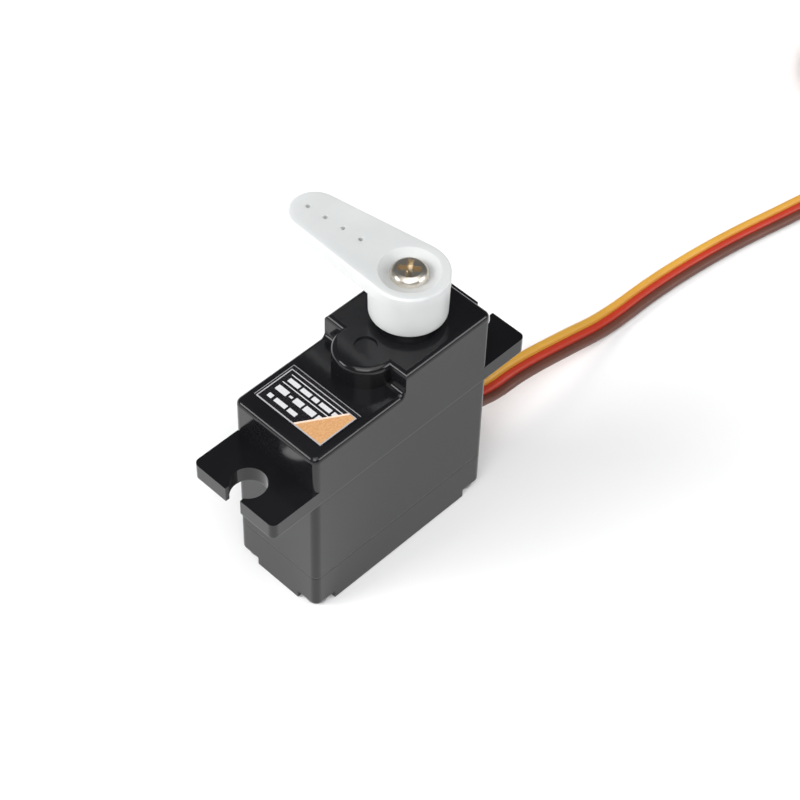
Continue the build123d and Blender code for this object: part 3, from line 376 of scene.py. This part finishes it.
# millimetres
WIRE_D = 1.17
PITCH = 1.17
FLAT_Z = 0.62                       # height of the lead's middle where it lies flat
EDGE_Z = 2.1                        # and where it stands on its edge
HANK_X, HANK_Y, HANK_RUN, HANK_R = 126.0, 4.0, 32.0, 10.5
TURN_GAP = 1.3                      # between the hank's two turns
HALF_TURNS = 3
ALONG_SIDE = (-0.5, -0.17, 0.17)    # points on each side of the hank, in runs from its middle
STEPS = 7                           # points on each end of the hank
LEAN = radians(20)                  # tilt of the ribbon where it hangs
LEAN_START = 6                      # it tilts over this much of its length
LEVEL_X = (36, 52)                  # it turns level from the first x to the second
EDGE_X = (88, 106)                  # and up on its edge for the hank
FLAT_LEFT = (33, 16)                # and flat again, with this much of its length left
HANK_FROM = 0.6                     # share of its length that is safely past the first turn
FAN_OUT = (8, 1)                    # its wires spread out to the plug, with this much left
PLUG_PITCH = 2.54
OFF_FLOOR = 0.1
AROUND = 14                         # points round each wire
WEB_HALF_W, WEB_HALF_T = 0.16, 0.19

route = [
    (18.2, 0.0, 6.9),
    (22.0, 0.0, 5.7),
    (27.5, 0.0, 5.6),
    (37.5, 0.0, 3.0),
    (45.0, 0.0, 0.8),
    (55.0, 0.0, FLAT_Z),
    (67.5, -1.4, FLAT_Z),
    (81.0, -4.3, FLAT_Z),
    (93.0, -6.4, FLAT_Z),
    (101.5, -7.1, 1.6),
]
# one and a half turns of the hank, outer turn first: along one side, then round the end
turn_r = HANK_R + TURN_GAP / 2
for half in range(HALF_TURNS):
    side = -1 if half % 2 == 0 else 1
    next_r = turn_r if half == 0 else HANK_R - TURN_GAP / 2
    for share in ALONG_SIDE:
        route.append((HANK_X - side * share * HANK_RUN, HANK_Y + side * turn_r, EDGE_Z))
    centre_x = HANK_X - side * HANK_RUN / 2
    for step in range(STEPS):
        done = (step + 0.5) / STEPS
        r = (turn_r + (next_r - turn_r) * done) / cos(pi / STEPS / 2)
        route.append((centre_x - side * r * sin(pi * done), HANK_Y + side * r * cos(pi * done), EDGE_Z))
    turn_r = next_r
route += [
    (142.0, 13.85, EDGE_Z - 0.5),
    (137.1, 13.5, 1.0),
    (132.5, 11.4, FLAT_Z),
    (128.0, 8.2, FLAT_Z),
    (123.3, 5.3, FLAT_Z + 0.3),
    (118.2, 4.4, 1.3),
]

curve = bpy.data.curves.new("lead_line", "CURVE")
curve.dimensions = "3D"
curve.resolution_u = 10
spline = curve.splines.new("NURBS")
spline.points.add(len(route) - 1)
for point, (x, y, z) in zip(spline.points, route):
    point.co = (x * MM, y * MM, z * MM, 1)
spline.order_u = 3
spline.use_endpoint_u = True
curve_object = bpy.data.objects.new("lead_line", curve)
line_mesh = bpy.data.meshes.new_from_object(curve_object)
line = [vertex.co.copy() for vertex in line_mesh.vertices]
bpy.data.meshes.remove(line_mesh)
bpy.data.objects.remove(curve_object)

reach = [0.0]
for before, here in zip(line, line[1:]):
    reach.append(reach[-1] + (here - before).length)
total = reach[-1]


def eased(value, low, high):
    """0 before low, 1 after high, and a smooth step between them."""
    t = min(1.0, max(0.0, (value - low) / (high - low)))
    return t * t * (3 - 2 * t)


def at_x(limit):
    """How far along the lead it first passes the limit on x."""
    return next(r for r, p in zip(reach, line) if p.x > limit * MM)


def skin(mesh, loops, look=0, smooth=True):
    """Faces between rings of points, and a cap at each end."""
    around = len(loops[0])
    for first, second in zip(loops, loops[1:]):
        for k in range(around):
            after_k = (k + 1) % around
            face = mesh.faces.new((first[k], first[after_k], second[after_k], second[k]))
            face.material_index = look
            face.smooth = smooth
    for cap in (loops[0], loops[-1][::-1]):
        mesh.faces.new(cap).material_index = look


def finished(mesh, name, looks):
    """An object from a mesh that is done, with its materials."""
    bmesh.ops.recalc_face_normals(mesh, faces=mesh.faces)
    data = bpy.data.meshes.new(name)
    mesh.to_mesh(data)
    mesh.free()
    for look in looks:
        data.materials.append(look)
    piece = bpy.data.objects.new(name, data)
    scene.collection.objects.link(piece)
    return piece


level_from, level_to = (at_x(limit) for limit in LEVEL_X)
edge_from, edge_to = (at_x(limit) for limit in EDGE_X)
flat_from = next(r for r in reach if r > total * HANK_FROM and r > total - FLAT_LEFT[0] * MM)
flat_to = total - FLAT_LEFT[1] * MM
fan_from, fan_to = (total - left * MM for left in FAN_OUT)

tubes = bmesh.new()
wires = {-1: [], 0: [], 1: []}
webs = {-1: [], 1: []}
radius = WIRE_D / 2 * MM
circle = [(cos(2 * pi * k / AROUND), sin(2 * pi * k / AROUND)) for k in range(AROUND)]
for index, here in enumerate(line):
    before, after = line[max(0, index - 1)], line[min(len(line) - 1, index + 1)]
    heading = (after - before).normalized()
    level = Vector((0, 0, 1)).cross(heading).normalized()
    above = heading.cross(level)
    at = reach[index]
    # tilted where it hangs, flat on the floor, on its edge in the hank, and flat again before the plug
    lean = LEAN * (1 - eased(at, level_from, level_to)) * eased(at, 0, LEAN_START * MM)
    lean += pi / 2 * eased(at, edge_from, edge_to) * (1 - eased(at, flat_from, flat_to))
    across = level * cos(lean) + above * sin(lean)
    over = heading.cross(across)
    here.z = max(here.z, (PITCH * abs(across.z) + WIRE_D / 2 + OFF_FLOOR) * MM)
    spacing = (PITCH + (PLUG_PITCH - PITCH) * eased(at, fan_from, fan_to)) * MM
    for wire, loops in wires.items():
        middle = here + across * (wire * spacing)
        loops.append([tubes.verts.new(middle + (across * a + over * b) * radius) for a, b in circle])
    if at < fan_from:
        for side, loops in webs.items():
            middle = here + across * (side * spacing / 2)
            loops.append(
                [
                    tubes.verts.new(middle + (across * (a * WEB_HALF_W) + over * (b * WEB_HALF_T)) * MM)
                    for a, b in ((1, 1), (-1, 1), (-1, -1), (1, -1))
                ]
            )
YELLOW, RED, BROWN = 0, 1, 2
for wire, look in ((-1, BROWN), (0, RED), (1, YELLOW)):
    skin(tubes, wires[wire], look)
for side, look in ((-1, BROWN), (1, YELLOW)):
    skin(tubes, webs[side], look, smooth=False)
ribbon = finished(tubes, "lead_ribbon", (wire_yellow, wire_red, wire_brown))
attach(ribbon, "housing")
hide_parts("lead", "lead_hank", "lead_tail")


# ---------------------------------------------------------------- tie round the hank

# millimetres
TIE_Y, TIE_Z = HANK_Y - HANK_R, 2.105
TIE_W, TIE_T = 2.4, 0.3
HALF_Y, HALF_Z, ROUND = 1.42, 1.79, 0.5     # the opening that the hank fills, and its rounded corners
CORNER_STEPS = 5
TWIST_AT = (0.6, -1.05, 1.945)              # start of the twisted ends, from the middle of the tie
TWIST_BY = (8.5, -0.5, -0.5)                # and how far they go
TWIST_TURNS = 3.5
TWIST_R = 0.33
TWIST_STEPS = 40
STRAND_T, STRAND_W = 0.2, 0.42

tie = bmesh.new()
opening = []
for quarter, (sy, sz) in enumerate(((1, 1), (-1, 1), (-1, -1), (1, -1))):
    for step in range(CORNER_STEPS):
        angle = pi / 2 * (quarter + step / (CORNER_STEPS - 1))
        opening.append(
            (sy * (HALF_Y - ROUND) + ROUND * cos(angle), sz * (HALF_Z - ROUND) + ROUND * sin(angle))
        )
profiles = []
for y, z in opening:
    grow = 1 + TIE_T / hypot(y, z)
    crown = 1 + 0.5 * TIE_T / hypot(y, z)
    profile = ((-0.5, 1.0), (-0.46, crown), (-0.2, grow), (0.2, grow), (0.46, crown), (0.5, 1.0))
    profiles.append(
        [
            tie.verts.new(Vector((HANK_X + share * TIE_W, TIE_Y + y * scale, TIE_Z + z * scale)) * MM)
            for share, scale in profile
        ]
    )
for first, second in zip(profiles, profiles[1:] + profiles[:1]):
    for k in range(len(first)):
        after_k = (k + 1) % len(first)
        tie.faces.new((first[k], first[after_k], second[after_k], second[k])).smooth = True
# two twisted ends that lie along the hank
for strand in (0, 1):
    loops = []
    for step in range(TWIST_STEPS + 1):
        along = step / TWIST_STEPS
        phase = 2 * pi * TWIST_TURNS * along + pi * strand
        middle = Vector((HANK_X, TIE_Y, TIE_Z)) + Vector(TWIST_AT) + Vector(TWIST_BY) * along
        middle += Vector((0, cos(phase), sin(phase))) * TWIST_R
        loops.append(
            [
                tie.verts.new((middle + Vector((0, cos(phase + a), sin(phase + a))) * r) * MM)
                for a, r in ((0, STRAND_T), (pi / 2, STRAND_W), (pi, STRAND_T), (3 * pi / 2, STRAND_W))
            ]
        )
    skin(tie, loops)
twist_tie = finished(tie, "twist_tie", (tie_black,))
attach(twist_tie, "housing")
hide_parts("lead_tie")


# ---------------------------------------------------------------- floor and light

def stage_sheet(name, size, centre, look):
    """A flat sheet that isn't part of the object."""
    made = bmesh.new()
    bmesh.ops.create_grid(made, x_segments=1, y_segments=1, size=size)
    mesh = bpy.data.meshes.new(name)
    made.to_mesh(mesh)
    made.free()
    piece = bpy.data.objects.new(name, mesh)
    piece.location = centre
    scene.collection.objects.link(piece)
    mesh.materials.append(look)


FLOOR_HALF = 3.0
floor_white, tree, shader, place = start("floor_white")
cloud = noise(tree, place, 0.2)
tree.links.new(mixed(tree, cloud, (0.90, 0.90, 0.90), (0.93, 0.93, 0.93)), shader.inputs["Base Color"])
shader.inputs["Roughness"].default_value = 0.8
shader.inputs["Specular IOR Level"].default_value = 0.2
stage_sheet("floor", FLOOR_HALF, (0, 0, 0), floor_white)


def shining_from(direction):
    """The turn that lets a light shine from a direction."""
    return Vector(direction).to_track_quat("Z", "Y")


def softbox(name, place, width, height, power):
    """A plain rectangular studio light, aimed at the middle of the case."""
    data = bpy.data.lights.new(name, "AREA")
    data.shape = "RECTANGLE"
    data.size = width
    data.size_y = height
    data.energy = power
    made = bpy.data.objects.new(name, data)
    made.location = place
    made.rotation_mode = "QUATERNION"
    made.rotation_quaternion = shining_from(Vector(place) - AIM)
    scene.collection.objects.link(made)
    return made


AIM = Vector((0, 0, 0.015))
LEFT = (-0.90, 0.55, 0.58)
softbox("key", (-0.75, -0.55, 1.1), 0.9, 0.9, 7.5)
softbox("side_right", (0.55, -0.90, 0.52), 0.6, 0.45, 4.0)
softbox("side_left", LEFT, 0.45, 0.4, 3.5)
# wide fill that lights the floor by the end face without a glare on the case's flat tops
softbox("fill_left", LEFT, 0.9, 0.8, 14).visible_glossy = False
sun_data = bpy.data.lights.new("sky", "SUN")
sun_data.energy = 1.5
sun_data.angle = radians(60)
sun = bpy.data.objects.new("sky", sun_data)
sun.rotation_mode = "QUATERNION"
sun.rotation_quaternion = shining_from((-0.15, -0.35, 1.0))
scene.collection.objects.link(sun)

world = bpy.data.worlds.new("studio")
scene.world = world
world.use_nodes = True
background = world.node_tree.nodes["Background"]
background.inputs["Color"].default_value = (0.94, 0.96, 1.0, 1)
background.inputs["Strength"].default_value = 0.10
scene.view_settings.view_transform = "Standard"
